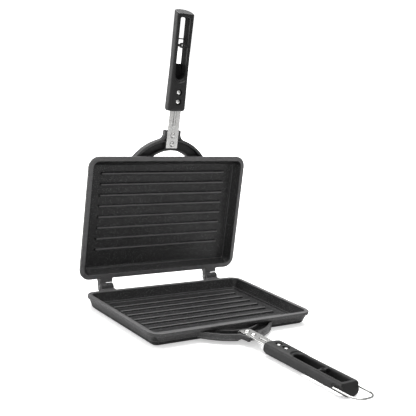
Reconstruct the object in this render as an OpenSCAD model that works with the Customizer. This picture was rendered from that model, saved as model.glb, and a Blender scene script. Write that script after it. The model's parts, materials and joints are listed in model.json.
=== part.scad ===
// Double sided flip pan: two cast ribbed trays hinged along one long side, each with a
// riveted steel tang and a moulded grip, and a wire bail that holds the grips together.
// Millimetres. X runs along the hinge line, the grips point to -Y when shut, Z is up.
// The origin is the centre of the lower tray's flat base. The lid is drawn open.

/* [Tray] */
// Outer width of each tray over the rim, along the hinge line
pan_w = 240; // [200:1:320]
// Outer depth of each tray over the rim, hinge side to grip side
pan_d = 154; // [130:1:220]
// Height of each tray from its base to its rim
pan_h = 17.4; // [15:0.1:28]
// Outer corner radius of the rim
corner_r = 14; // [12:0.5:20]
// Thickness of the cast floor
floor_t = 4; // [3:0.1:5]
// How far the rim flange stands out from the side wall
flange_out = 2.6; // [1.5:0.1:4]
// Width of the flat face on top of the rim
rim_face = 5.4; // [4.5:0.1:7]
// Gap between the two rims when the pan is shut
rim_gap = 0.3; // [0.2:0.05:0.6]

/* [Ribs] */
// Number of grill ribs in the lower tray
lower_ribs = 7; // [4:1:9]
// Spacing of the ribs in the lower tray
lower_rib_pitch = 15.4; // [10:0.1:17]
// Number of grill ribs in the lid
upper_ribs = 8; // [4:1:9]
// Spacing of the ribs in the lid
upper_rib_pitch = 13.7; // [10:0.1:15]
// How far the middle of the lid's rib field lies towards the grip
upper_rib_shift = 6; // [0:0.5:8]
// Length of a rib over its rounded ends
rib_len = 192; // [150:1:196]
// Width of a rib at its foot
rib_w = 3.6; // [2.4:0.1:5]
// Height of a rib above the floor
rib_h = 2.4; // [1.5:0.1:3.5]

/* [Hinge] */
// Distance of each hinge from the side of the tray
hinge_inset = 38; // [30:1:60]
// Distance of the hinge line behind the rim
hinge_back = 11; // [10:0.5:14]
// Radius of the hinge barrels
barrel_r = 5.2; // [4.5:0.1:6]
// Length of the lid's barrel on each hinge
upper_barrel = 8.5; // [7:0.1:12]
// Length of the lower tray's barrel on each hinge
lower_barrel = 8.5; // [7:0.1:12]
// Side gap between the two barrels of a hinge
barrel_gap = 0.5; // [0.3:0.1:1]
// Radius of the hinge pin
pin_r = 2; // [1.5:0.1:2.5]
// Radial running clearance of the lid's barrel on the pin
pin_run = 0.06; // [0.02:0.01:0.1]
// Angle the lid stands open at, measured from shut
lid_open = 90; // [90:1:90]

/* [Bridge] */
// Outer radius of the cast bow that carries the tang
bow_r = 71; // [66:0.5:85]
// How far the bow's crown stands in front of the rim
bow_out = 22.5; // [20:0.5:26]
// Inner radius of the bow, the edge of the finger gap
bow_in_r = 50; // [44:0.5:60]
// Depth of the finger gap between rim and bow at the middle
bow_gap = 7; // [5:0.5:9]
// Height of the bow's underside above the base
bow_z = 4.2; // [3:0.1:5]
// Height of the bow's underside beneath the tang
neck_z = 6.8; // [5:0.1:7.5]
// Thickness of the bow's web
bow_web = 2.8; // [2.5:0.1:4]
// Thickness of the bow's outer wall and of the ears beside the tang
bow_wall = 3.4; // [2.5:0.1:4]
// Thickness of the wall along the finger gap
bow_lip = 2; // [1.5:0.1:3]
// How far the ears stand in front of the bow's crown
ear_out = 10.5; // [8:0.5:14]
// Radius of the fillet between the bow and each ear
ear_fillet = 9; // [6:0.5:12]

/* [Tang] */
// Width of the steel tang
tang_w = 17.2; // [14:0.1:20]
// Thickness of the steel tang
tang_t = 2; // [1.5:0.1:2.5]
// Depth of the tang's visible face below the parting plane
tang_depth = 5.2; // [4.6:0.1:6]
// Length of the tang between the bow and the grip
tang_free = 27; // [20:0.5:40]
// Side clearance of the tang between the ears and in the grip
tang_gap = 0.2; // [0.1:0.05:0.4]
// Radius of the rivet shanks
rivet_r = 2; // [1.5:0.1:2.5]
// Spacing of the two tang rivets
rivet_pitch = 11.2; // [9:0.1:13]

/* [Grip] */
// Length of the moulded grip
grip_len = 120; // [105:1:140]
// Half width of the grip at its root
root_half = 13.3; // [12:0.1:15]
// Half width of the grip at its waist
waist_half = 12.3; // [11.5:0.1:14]
// Half width of the grip at its end
end_half = 12.9; // [12:0.1:15]
// Depth of the grip's flat face below the parting plane
face_depth = 2.2; // [1.5:0.1:3.5]
// Depth of the root's crest below the parting plane
crest_depth = 0.5; // [0.3:0.1:1]
// How far the grip's back reaches past the front edge of its end
end_rake = 6; // [0:0.1:8]
// Height of the grip's back above the table
grip_z = 0.9; // [0.5:0.1:2]
// Half width of the long slot in the grip
slot_half = 7.5; // [6:0.1:8]
// Distance of the slot's rounded end from the grip's root
slot_from = 39.4; // [36:0.1:50]
// Thickness of the wall between the slot and the grip's end
slot_wall = 3.9; // [3:0.1:6]
// Distance of the crossbar from the slot's square end
bar_back = 34.2; // [26:0.1:40]
// Width of the crossbar in the slot
bar_w = 3; // [2.5:0.1:6]
// Radius of the hanging hole in the crossbar
bar_hole_r = 2; // [1.5:0.1:2.5]
// Distance of the first screw from the grip's root
screw_at = 12.2; // [10:0.1:14]
// Spacing of the two grip screws
screw_pitch = 11.8; // [11:0.1:14]
// Radius of the screw shanks
screw_r = 2; // [1.5:0.1:2.5]

/* [Bail] */
// Radius of the bail wire
wire_r = 1.1; // [0.8:0.05:1.5]
// Distance from the bail's pivot to the middle of its end bar
bail_len = 35; // [34:0.5:42]
// Distance of the bail's pivot from the end of the grip
bail_back = 9; // [7:0.5:12]
// Height of the bail's pivot above the table
bail_z = 8.5; // [7:0.1:10]
// Gap between each leg of the bail and the side of the grips
bail_side = 0.4; // [0.2:0.05:0.8]
// Radial running clearance of the bail's ends in their holes
bail_run = 0.06; // [0.02:0.01:0.1]
// Bend radius of the bail's two corners, to the middle of the wire
bail_bend = 11.5; // [4:0.5:12]

/* [Hidden] */
$fn = 48;
eps = 0.01;
part_z = pan_h + rim_gap / 2;
hinge_x = pan_w / 2 - hinge_inset;
hinge_y = pan_d / 2 + hinge_back;
rim_y = -pan_d / 2;
tang_face_z = part_z - tang_depth;
tang_back_z = tang_face_z - tang_t;
bow_crown = rim_y - bow_out;
bow_cy = bow_crown + bow_r;
bow_in_cy = rim_y - bow_gap + bow_in_r;
bow_back_y = rim_y + 7.4;
bow_top = tang_face_z - 0.3;
ear_in = tang_w / 2 + tang_gap;
ear_x = ear_in + bow_wall;
ear_tip = bow_crown - ear_out;
fillet_x = ear_x + ear_fillet;
fillet_y = bow_cy - sqrt(pow(bow_r + ear_fillet, 2) - pow(fillet_x, 2));
seat_front = bow_crown - 8;
tang_tip = rim_y - bow_gap - bow_lip - 1;
rivet_in = tang_tip - 5.3;
rivet_out = rivet_in - rivet_pitch;
rivet_head_r = 3.1;
grip_root = seat_front - tang_free;
grip_end = grip_root - grip_len;
face_z = part_z - face_depth;
crest_z = part_z - crest_depth;
slot_a = grip_root - slot_from;
slot_b = grip_end + slot_wall;
slot_cy = slot_a - slot_half;
swoop_r = slot_half + 2.6;
tang_end = slot_a + 6;
bar_y = slot_b + bar_back;
bar_top = face_z - 0.5;
bar_t = 5;
boss_r = bar_hole_r + 1.2;
web_w = 1.4;
web_t = 3;
web_z = part_z - 14;
web_ys = [bar_y + 23.7, bar_y - 7.9];
root_round = 3.4;
end_round = 1.2;
screw_in = grip_root - screw_at;
screw_out = screw_in - screw_pitch;
screw_head_r = 3.3;
screw_head_h = 2.4;
bore_r = 4.3;
screw_seat = crest_z - 3;
nut_af = 7;
nut_t = 3.2;
nut_z = grip_z + 1.6;
pad_y = hinge_y - barrel_r - 0.6;
pad_a = upper_barrel + barrel_gap / 2;
pad_b = lower_barrel + barrel_gap / 2;
stop_gap = 0.1;
bail_y = grip_end + bail_back;
bail_flat = end_half - 1.2;
bail_x = end_half + bail_side + wire_r;
bail_end = slot_half + 0.4;
pocket_half = wire_r + 2.5;

// Points on an arc about c, from angle a0 to a1 in n steps
function arc_pts(c, r, a0, a1, n) = [for (i = [0:n]) let (a = a0 + (a1 - a0) * i / n)
    [c[0] + r * cos(a), c[1] + r * sin(a)]];

// Half section of the tray wall: u runs inwards from the outer edge of the rim, v up
function wall_pts() = concat(
    arc_pts([0.8, pan_h - 0.8], 0.8, 90, 180, 3),
    [[0, pan_h - 3.2]],
    [[0.5, pan_h - 4.1], [flange_out - 0.5, pan_h - 4.7], [flange_out, pan_h - 5.4]],
    [[flange_out + 2.6, 6.2], [flange_out + 3.2, 4.3], [flange_out + 4.4, 2.4]],
    [[flange_out + 6.2, 0.9], [flange_out + 8, 0.25], [flange_out + 9.4, 0], [corner_r, 0]],
    [[corner_r, floor_t], [rim_face + 8, floor_t], [rim_face + 7, floor_t + 0.25]],
    [[rim_face + 6.2, floor_t + 1], [rim_face + 5.7, floor_t + 2]],
    [[rim_face + 0.9, pan_h - 1.4], [rim_face + 0.5, pan_h - 0.4], [rim_face, pan_h]]);

module tray_side(length) {
    rotate([90, 0, 90]) translate([0, 0, -length / 2]) linear_extrude(length)
        polygon([for (p = wall_pts()) [-p[0], p[1]]]);
}

module tray_corner() {
    rotate_extrude(angle = 90) polygon([for (p = wall_pts()) [corner_r - p[0], p[1]]]);
}

// One tray: four straight walls, four turned corners and the floor
module tray() {
    x = pan_w / 2;
    y = pan_d / 2;
    for (s = [0, 180]) rotate([0, 0, s]) {
        translate([0, y, 0]) tray_side(pan_w - 2 * corner_r);
        translate([-x, 0, 0]) rotate([0, 0, 90]) tray_side(pan_d - 2 * corner_r);
        translate([x - corner_r, y - corner_r, 0]) tray_corner();
        translate([corner_r - x, y - corner_r, 0]) rotate([0, 0, 90]) tray_corner();
    }
    for (g = [[0, 1.5], [1.5, 0]])
        translate([corner_r - x - g[0], corner_r - y - g[1], 0])
            cube([2 * (x - corner_r + g[0]), 2 * (y - corner_r + g[1]), floor_t]);
}

// Half section of a rib, from its middle outwards
function rib_pts() = [[0, -0.5], [rib_w / 2, -0.5], [rib_w / 2, 0.2], [rib_w / 2 - 0.5, 0.7],
    [rib_w / 2 - 0.8, rib_h - 0.5], [rib_w / 2 - 1.2, rib_h - 0.1], [0, rib_h]];

module rib() {
    run = rib_len - rib_w;
    half = rib_pts();
    rotate([90, 0, 90]) translate([0, 0, -run / 2]) linear_extrude(run)
        polygon(concat(half, [for (i = [len(half) - 2:-1:1]) [-half[i][0], half[i][1]]]));
    for (s = [-1, 1]) translate([s * run / 2, 0, 0]) rotate_extrude() polygon(half);
}

module rib_field(count, pitch, middle) {
    for (i = [0:count - 1])
        translate([0, middle + (i - (count - 1) / 2) * pitch, floor_t]) rib();
}

// Plan of the bow with its ears, its outer edge drawn in by the given amount
module bow_plan(inset) {
    reach = fillet_x * (bow_r - inset) / (bow_r + ear_fillet);
    difference() {
        union() {
            translate([0, bow_cy]) circle(bow_r - inset, $fn = 160);
            translate([-reach, fillet_y]) square([2 * reach, bow_crown + bow_wall - fillet_y]);
            translate([inset - ear_x, ear_tip + 1.5])
                square([2 * (ear_x - inset), fillet_y - ear_tip]);
            for (s = [-1, 1]) translate([s * (ear_x - 1.5), ear_tip + 1.5])
                circle(max(1.5 - inset, eps));
            translate([1.5 - ear_x, ear_tip + inset]) square([2 * (ear_x - 1.5), 3]);
        }
        for (s = [-1, 1]) translate([s * fillet_x, fillet_y]) circle(ear_fillet + inset);
        translate([0, bow_in_cy]) circle(bow_in_r, $fn = 120);
        translate([-bow_r - 5, bow_back_y]) square([2 * bow_r + 10, 2 * bow_r]);
    }
}

// Channel section bow: a web, an outer wall that runs on into the ears, an inner lip and,
// between the ears, the solid seat of the tang
module bow() {
    translate([0, 0, bow_z]) {
        linear_extrude(bow_web) bow_plan(0);
        linear_extrude(bow_top - bow_z) {
            difference() {
                bow_plan(0);
                bow_plan(bow_wall);
            }
            intersection() {
                bow_plan(0);
                translate([0, bow_in_cy]) circle(bow_in_r + bow_lip, $fn = 120);
            }
        }
    }
    translate([-ear_in - eps, seat_front, bow_z])
        cube([2 * ear_in + 2 * eps, tang_tip + 2 - seat_front, tang_back_z - bow_z]);
}

// Everything the bow gives way to: the tang's tip, the space in front of its seat, the
// shallow pocket beneath it and the two rivets
module bow_cuts() {
    translate([-ear_in - eps, ear_tip - 1, tang_back_z])
        cube([2 * ear_in + 2 * eps, tang_tip + 0.4 - ear_tip + 1, pan_h]);
    translate([-ear_in, ear_tip - 1, 0]) cube([2 * ear_in, seat_front - ear_tip + 1, pan_h]);
    translate([0, tang_tip - 0.6, 0]) rotate([90, 0, 0]) linear_extrude(pan_d)
        polygon([[-ear_x - 6, bow_z - 1], [-ear_x - 2, neck_z], [ear_x + 2, neck_z],
            [ear_x + 6, bow_z - 1]]);
    for (y = [rivet_in, rivet_out]) translate([0, y, -1]) cylinder(r = rivet_r + 0.05, h = pan_h);
}

module along_x(x0, x1) {
    translate([x0, 0, 0]) rotate([90, 0, 90]) linear_extrude(x1 - x0) children();
}

// Hinge lug of one half: a root pad as wide as the hinge and one barrel on a web
module hinge_lug(upper) {
    x0 = upper ? -pad_a : barrel_gap / 2;
    x1 = upper ? -barrel_gap / 2 : pad_b;
    back = pan_d / 2;
    along_x(-pad_a, pad_b) polygon([[back - 6.2, 4.2], [back - 2, 5.2], [pad_y, 11],
        [pad_y, pan_h], [back - 4, pan_h], [back - 4, 12], [back - 6.2, 6.4]]);
    along_x(x0, x1) polygon([[pad_y - 0.5, 11], [hinge_y, part_z - barrel_r],
        [hinge_y, pan_h], [pad_y - 0.5, pan_h]]);
    translate([x0, hinge_y, part_z]) rotate([0, 90, 0]) cylinder(r = barrel_r, h = x1 - x0);
    if (upper) along_x(x0, x1) stop_heel();
}

// Heel on the lid's barrel that meets the lower tray's root pad when the lid stands open
module stop_heel() {
    low = part_z + barrel_r + 0.6 - stop_gap;
    polygon([[hinge_y, part_z], [hinge_y + barrel_r - 0.8, part_z],
        [hinge_y + barrel_r, part_z + 1], [hinge_y + barrel_r, low - 1.2],
        [hinge_y + barrel_r - 0.8, low], [hinge_y, low]]);
}

module hinge_bore(upper) {
    translate([-pad_a - 1, hinge_y, part_z]) rotate([0, 90, 0])
        cylinder(r = pin_r + (upper ? pin_run : 0.02), h = pad_a + pad_b + 2);
}

// A whole cast half, drawn base down with its grip towards -Y
module pan_half(upper) {
    difference() {
        union() {
            tray();
            if (upper) rib_field(upper_ribs, upper_rib_pitch, -upper_rib_shift);
            else rib_field(lower_ribs, lower_rib_pitch, 0);
            bow();
            for (s = [-1, 1]) translate([s * hinge_x, 0, 0]) hinge_lug(upper);
        }
        bow_cuts();
        for (s = [-1, 1]) translate([s * hinge_x, 0, 0]) hinge_bore(upper);
    }
}

// Flat steel strip with a pressed stiffening bead, two rivet and two screw holes
module tang() {
    bead = [grip_root + 19, grip_root - 6];
    difference() {
        union() {
            translate([-tang_w / 2, tang_end, tang_back_z])
                cube([tang_w, tang_tip - tang_end, tang_t]);
            translate([0, 0, tang_face_z - 1.1]) bead_bar(bead, 2);
        }
        translate([0, 0, tang_back_z - 1.1]) bead_bar(bead, 1.7);
        for (y = [rivet_in, rivet_out])
            translate([0, y, 0]) cylinder(r = rivet_r + 0.05, h = pan_h);
        for (y = [screw_in, screw_out])
            translate([0, y, 0]) cylinder(r = screw_r + 0.2, h = pan_h);
    }
}

// Round bar with ball ends from y[0] to y[1]
module bead_bar(y, r) {
    translate([0, y[0], 0]) rotate([90, 0, 0]) cylinder(r = r, h = y[0] - y[1]);
    for (q = y) translate([0, q, 0]) sphere(r = r);
}

module rivet() {
    r = rivet_head_r;
    rotate_extrude() polygon([[0, neck_z - 1.4], [1.4, neck_z - 1.3], [2.6, neck_z - 0.7],
        [r, neck_z], [rivet_r, neck_z], [rivet_r, tang_face_z], [r, tang_face_z],
        [r - 0.3, tang_face_z + 0.7], [2, tang_face_z + 1.4], [1, tang_face_z + 1.65],
        [0, tang_face_z + 1.7]]);
}

// Eases from 0 to 1 as t runs from 0 to 1
function ease(t) = let (u = min(max(t, 0), 1)) u * u * (3 - 2 * u);

// Half width of the grip at a distance from its root: full root, waist, full end
function grip_half(d) = root_half - (root_half - waist_half) * ease(d / (grip_len * 0.5))
    + (end_half - waist_half) * ease((d - grip_len * 0.5) / (grip_len * 0.5));

// How far the skin draws in at a distance from an end rounded by r
function round_in(d, r) = d >= r ? 0 : r - sqrt(r * r - (r - d) * (r - d));

// One ring of the grip's skin: squarish above its middle, a rounder back below it
function grip_ring(d) = let (
    cut = round_in(d, root_round) + round_in(grip_len - d, end_round),
    half = grip_half(d) - cut,
    top = crest_z - cut,
    low = grip_z + cut,
    mid = grip_z + (crest_z - grip_z) * 0.55,
    rake = end_rake * ease((d - grip_len * 0.7) / (grip_len * 0.3)) / (crest_z - grip_z))
    [for (i = [0:35]) let (c = cos(10 * i), s = sin(10 * i), p = s < 0 ? 0.9 : 0.55,
        z = mid + (s < 0 ? mid - low : top - mid) * sign(s) * pow(abs(s), p))
        [half * sign(c) * pow(abs(c), p), grip_root - d - rake * (crest_z - z), z]];

// Skin through a list of rings that have the same number of points
module loft(rings) {
    n = len(rings[0]);
    m = len(rings);
    sides = [for (j = [0:m - 2], i = [0:n - 1])
        let (k = (i + 1) % n, a = j * n + i, b = j * n + k)
        each [[a, b + n, b], [a, a + n, b + n]]];
    ends = [[for (i = [0:n - 1]) i], [for (i = [n - 1:-1:0]) (m - 1) * n + i]];
    polyhedron([for (r = rings) each r], concat(sides, ends));
}

// Distances of the grip's rings from its root: close at both rounded ends, even between
function grip_stations() = let (run = grip_len - root_round - end_round) concat(
    [for (k = [0, 0.12, 0.4]) root_round * k],
    [for (i = [0:9]) root_round + run * i / 9],
    [for (k = [0.4, 0]) grip_len - end_round * k]);

// The grip's body with the flat face that ends in a swoop round the slot's inner end
module grip_body() {
    difference() {
        loft([for (d = grip_stations()) grip_ring(d)]);
        translate([0, slot_cy, face_z]) cylinder(r1 = swoop_r, r2 = swoop_r + 3, h = 4);
        translate([-root_half - 5, grip_end - 10, face_z])
            cube([2 * root_half + 10, slot_cy - grip_end + 10, 5]);
    }
}

// Plan of the slot, round towards the root and square with small corners at the far end
module slot_plan(grow) {
    w = slot_half + grow;
    translate([0, slot_cy]) circle(w);
    translate([-w, slot_b - grow + 2]) square([2 * w, slot_cy - slot_b + grow - 2]);
    translate([2 - w, slot_b - grow]) square([2 * w - 4, 4]);
    for (s = [-1, 1]) translate([s * (w - 2), slot_b - grow + 2]) circle(2);
}

// The ribs that span the slot: the holed crossbar and two thin webs near the back
module slot_bars() {
    translate([-slot_half - 0.5, bar_y - bar_w / 2, bar_top - bar_t])
        cube([2 * slot_half + 1, bar_w, bar_t]);
    translate([0, bar_y, bar_top - bar_t]) cylinder(r = boss_r, h = bar_t);
    for (y = web_ys) translate([-slot_half - 0.5, y - web_w / 2, web_z])
        cube([2 * slot_half + 1, web_w, web_t]);
}

module grip() {
    difference() {
        grip_body();
        difference() {
            translate([0, 0, -1]) linear_extrude(pan_h + 2) slot_plan(0);
            slot_bars();
        }
        translate([0, 0, face_z - 0.7]) linear_extrude(5) slot_plan(0.7);
        translate([0, bar_y, 0]) cylinder(r = bar_hole_r, h = pan_h);
        translate([-tang_w / 2 - tang_gap, tang_end - 0.3, tang_back_z - 0.1])
            cube([tang_w + 2 * tang_gap, grip_root - tang_end + 2, tang_t + 0.2]);
        translate([0, 0, tang_face_z - 1]) bead_bar([grip_root + 2, grip_root - 6], 2.2);
        for (y = [screw_in, screw_out]) translate([0, y, 0]) {
            cylinder(r = screw_r + 0.15, h = pan_h);
            translate([0, 0, screw_seat]) cylinder(r = bore_r, h = 5);
            translate([0, 0, -1]) cylinder(d = (nut_af + 0.3) / cos(30), h = nut_z + nut_t + 1,
                $fn = 6);
        }
    }
}

// Side pocket of the lower grip, open at the grip's end and round about the bail's pivot
module bail_pocket() {
    rotate([90, 0, 90]) linear_extrude(4) {
        translate([bail_y, bail_z]) circle(pocket_half);
        translate([grip_end - end_rake - 2, bail_z - pocket_half])
            square([bail_back + end_rake + 2, 2 * pocket_half]);
    }
}

// The lower grip adds the pockets and holes the bail turns in
module bail_grip() {
    difference() {
        grip();
        for (s = [0, 1]) mirror([s, 0, 0]) {
            translate([bail_flat, 0, 0]) bail_pocket();
            translate([slot_half - 1, bail_y, bail_z]) rotate([0, 90, 0])
                cylinder(r = wire_r + bail_run, h = 6);
        }
    }
}

module screw() {
    z = screw_seat;
    difference() {
        rotate_extrude() polygon([[0, nut_z - 0.6], [screw_r - 0.4, nut_z - 0.6],
            [screw_r, nut_z - 0.2], [screw_r, z], [screw_head_r, z], [screw_head_r, z + 1.1],
            [screw_head_r - 0.6, z + 1.8], [screw_head_r - 1.6, z + screw_head_h - 0.1],
            [0, z + screw_head_h]]);
        for (a = [45, 135]) rotate([0, 0, a])
            translate([-1.7, -0.4, z + screw_head_h - 1.3]) cube([3.4, 0.8, 2]);
    }
}

module nut() {
    translate([0, 0, nut_z]) difference() {
        cylinder(d = nut_af / cos(30), h = nut_t, $fn = 6);
        translate([0, 0, -1]) cylinder(r = screw_r + 0.02, h = nut_t + 2);
    }
}

// Wire bail lying in line with the lower grip: two inturned ends, two legs, a rounded end
module bail() {
    leg = bail_len - bail_bend;
    tip = bail_y - bail_len;
    for (s = [0, 1]) mirror([s, 0, 0]) {
        translate([bail_end, bail_y, bail_z]) rotate([0, 90, 0])
            cylinder(r = wire_r, h = bail_x - bail_end);
        translate([bail_x, bail_y, bail_z]) sphere(r = wire_r);
        translate([bail_x, bail_y, bail_z]) rotate([90, 0, 0]) cylinder(r = wire_r, h = leg);
        translate([bail_x - bail_bend, bail_y - leg, bail_z]) rotate([0, 0, -90])
            rotate_extrude(angle = 90) translate([bail_bend, 0]) circle(wire_r, $fn = 32);
        translate([-eps, tip, bail_z]) rotate([0, 90, 0])
            cylinder(r = wire_r, h = bail_x - bail_bend + eps);
    }
}

// Hinge pin: domed head outside the lid's barrel, spread end outside the other
module hinge_pin() {
    a = upper_barrel + barrel_gap / 2 + 0.25;
    b = lower_barrel + barrel_gap / 2;
    translate([0, hinge_y, part_z]) rotate([0, 90, 0]) rotate_extrude()
        polygon([[0, -a - 1.3], [1.2, -a - 1.2], [2.4, -a - 0.8], [pin_r + 1, -a - 0.2],
            [pin_r + 1, -a], [pin_r, -a], [pin_r, b], [pin_r + 0.9, b], [pin_r + 0.6, b + 0.6],
            [pin_r - 0.5, b + 1], [0, b + 1.1]]);
}

// Turns a half drawn base down into the lid: over about the rims, then open on the hinge
module lid() {
    translate([0, hinge_y, part_z]) rotate([-lid_open, 0, 0]) translate([0, -hinge_y, part_z])
        mirror([0, 0, 1]) children();
}

module lower_pan() { color("#2b2b2c") pan_half(false); }
module lower_tang() { color("#c9c9c7") tang(); }
module lower_tang_rivet_inner() { color("#b9b9b8") translate([0, rivet_in, 0]) rivet(); }
module lower_tang_rivet_outer() { color("#b9b9b8") translate([0, rivet_out, 0]) rivet(); }
module lower_handle() { color("#303133") bail_grip(); }
module lower_handle_screw_inner() { color("#d2d2d0") translate([0, screw_in, 0]) screw(); }
module lower_handle_screw_outer() { color("#d2d2d0") translate([0, screw_out, 0]) screw(); }
module lower_handle_nut_inner() { color("#bdbdbb") translate([0, screw_in, 0]) nut(); }
module lower_handle_nut_outer() { color("#bdbdbb") translate([0, screw_out, 0]) nut(); }
module latch_bail() { color("#d0d0ce") bail(); }
module upper_pan() { color("#2b2b2c") lid() pan_half(true); }
module upper_tang() { color("#c9c9c7") lid() tang(); }
module upper_tang_rivet_inner() { color("#b9b9b8") lid() translate([0, rivet_in, 0]) rivet(); }
module upper_tang_rivet_outer() { color("#b9b9b8") lid() translate([0, rivet_out, 0]) rivet(); }
module upper_handle() { color("#303133") lid() grip(); }
module upper_handle_screw_inner() { color("#d2d2d0") lid() translate([0, screw_in, 0]) screw(); }
module upper_handle_screw_outer() { color("#d2d2d0") lid() translate([0, screw_out, 0]) screw(); }
module upper_handle_nut_inner() { color("#bdbdbb") lid() translate([0, screw_in, 0]) nut(); }
module upper_handle_nut_outer() { color("#bdbdbb") lid() translate([0, screw_out, 0]) nut(); }
module hinge_pin_left() { color("#8f8f8e") translate([-hinge_x, 0, 0]) hinge_pin(); }
module hinge_pin_right() { color("#8f8f8e") translate([hinge_x, 0, 0]) hinge_pin(); }

lower_pan();
lower_tang();
lower_tang_rivet_inner();
lower_tang_rivet_outer();
lower_handle();
lower_handle_screw_inner();
lower_handle_screw_outer();
lower_handle_nut_inner();
lower_handle_nut_outer();
latch_bail();
upper_pan();
upper_tang();
upper_tang_rivet_inner();
upper_tang_rivet_outer();
upper_handle();
upper_handle_screw_inner();
upper_handle_screw_outer();
upper_handle_nut_inner();
upper_handle_nut_outer();
hinge_pin_left();
hinge_pin_right();
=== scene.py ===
"""Looks of the double sided flip pan: cast trays, steel tangs, moulded grips and the wire bail."""

import json
import logging
import math
from collections.abc import Callable
from dataclasses import dataclass
from enum import Enum
from typing import Union

import bmesh
import bpy
import numpy as np
from mathutils import Matrix, Vector


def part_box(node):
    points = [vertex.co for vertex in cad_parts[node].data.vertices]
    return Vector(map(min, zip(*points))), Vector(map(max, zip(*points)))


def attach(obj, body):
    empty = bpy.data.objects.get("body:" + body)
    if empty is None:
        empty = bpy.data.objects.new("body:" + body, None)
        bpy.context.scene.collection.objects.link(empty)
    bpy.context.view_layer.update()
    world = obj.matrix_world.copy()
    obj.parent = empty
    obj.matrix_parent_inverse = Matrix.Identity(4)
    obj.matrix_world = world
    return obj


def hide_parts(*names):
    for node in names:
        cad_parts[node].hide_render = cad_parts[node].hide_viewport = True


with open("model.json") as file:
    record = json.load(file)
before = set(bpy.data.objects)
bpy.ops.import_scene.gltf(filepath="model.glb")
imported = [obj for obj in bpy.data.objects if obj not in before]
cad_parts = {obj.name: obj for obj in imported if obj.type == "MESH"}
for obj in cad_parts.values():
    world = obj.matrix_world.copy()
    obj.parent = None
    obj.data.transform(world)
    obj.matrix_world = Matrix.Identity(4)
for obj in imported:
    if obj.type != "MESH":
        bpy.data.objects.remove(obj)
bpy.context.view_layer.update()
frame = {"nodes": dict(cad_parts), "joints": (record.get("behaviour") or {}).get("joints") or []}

LOG = logging.getLogger("flip_pan")
PLACE = "half_place"
MM = 0.001
HINGE = next(joint for joint in frame["joints"] if joint["name"] == "lid_hinge")["pos_m"]
TURN = HINGE[1] + HINGE[2]
Socket = bpy.types.NodeSocket
Term = Union[bpy.types.NodeSocket, float, tuple]


class Half(Enum):
    """The two halves of the pan: the name its pieces start with, and the body they ride on."""

    LOWER = ("lower", "lower")
    UPPER = ("upper", "lid")

    @property
    def prefix(self) -> str:
        """First word of this half's piece names."""
        return self.value[0]

    @property
    def body(self) -> str:
        """CAD body that this half rides on."""
        return self.value[1]

    @property
    def placing(self) -> Matrix:
        """Matrix between a half drawn base down and its place in the frame.

        Returns:
            The matrix, which is its own inverse.
        """
        if self is Half.LOWER:
            return Matrix.Identity(4)
        return Matrix(((1, 0, 0, 0), (0, 0, -1, TURN), (0, -1, 0, TURN), (0, 0, 0, 1)))


class Shade(Enum):
    """How a finished mesh is shaded: the angle in degrees above which an edge stays sharp."""

    CAST = 34.0
    MOULDED = 44.0
    TURNED = 50.0
    SHEET = 30.0


# ---------------------------------------------------------------------------------------------
# Mesh helpers
# ---------------------------------------------------------------------------------------------


def half_box(half: Half, node: str) -> tuple[Vector, Vector]:
    """Box of a CAD node in its half's own frame.

    Args:
        half: the half that the node belongs to.
        node: name of the CAD node.

    Returns:
        The lowest and the highest corner, in metres.
    """
    corners = [half.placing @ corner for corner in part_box(node)]
    return (
        Vector(map(min, *corners)),
        Vector(map(max, *corners)),
    )


def middle(half: Half, node: str) -> Vector:
    """Middle of a CAD node's box in its half's own frame.

    Args:
        half: the half that the node belongs to.
        node: name of the CAD node.

    Returns:
        The middle point, in metres.
    """
    low, high = half_box(half, node)
    return (low + high) / 2


def new_mesh(name: str, points: list, faces: list, edges: list | None = None) -> bpy.types.Mesh:
    """Makes a mesh from plain lists.

    Args:
        name: name of the mesh.
        points: corner points, in metres.
        faces: faces as lists of point numbers.
        edges: loose edges as pairs of point numbers.

    Returns:
        The new mesh.
    """
    mesh = bpy.data.meshes.new(name)
    mesh.from_pydata([tuple(p) for p in points], edges or [], faces)
    mesh.update()
    return mesh


def baked(
    mesh: bpy.types.Mesh,
    add_modifiers: Callable[[bpy.types.Object], None],
    carrier_name: str = "carrier",
) -> bpy.types.Mesh:
    """Puts modifiers on a mesh, evaluates them and gives back a plain mesh.

    Args:
        mesh: the mesh to start from.
        add_modifiers: a function that adds its modifiers to the carrier object.
        carrier_name: name of the passing object.

    Returns:
        The evaluated mesh, with no modifier left.
    """
    carrier = bpy.data.objects.new(carrier_name, mesh)
    bpy.context.scene.collection.objects.link(carrier)
    add_modifiers(carrier)
    bpy.context.view_layer.update()
    graph = bpy.context.evaluated_depsgraph_get()
    result = bpy.data.meshes.new_from_object(
        carrier.evaluated_get(graph), preserve_all_data_layers=True, depsgraph=graph
    )
    carrier.modifiers.clear()
    bpy.data.objects.remove(carrier)
    return result


def circle(radius: float, height: float, steps: int) -> list[Vector]:
    """Sets out the even points of a level circle about the Z axis.

    Args:
        radius: its radius, in millimetres.
        height: its height, in millimetres.
        steps: number of points.

    Returns:
        The points, in metres.
    """
    turns = [2 * math.pi * i / steps for i in range(steps)]
    return [Vector((radius * math.cos(a), radius * math.sin(a), height)) * MM for a in turns]


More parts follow.
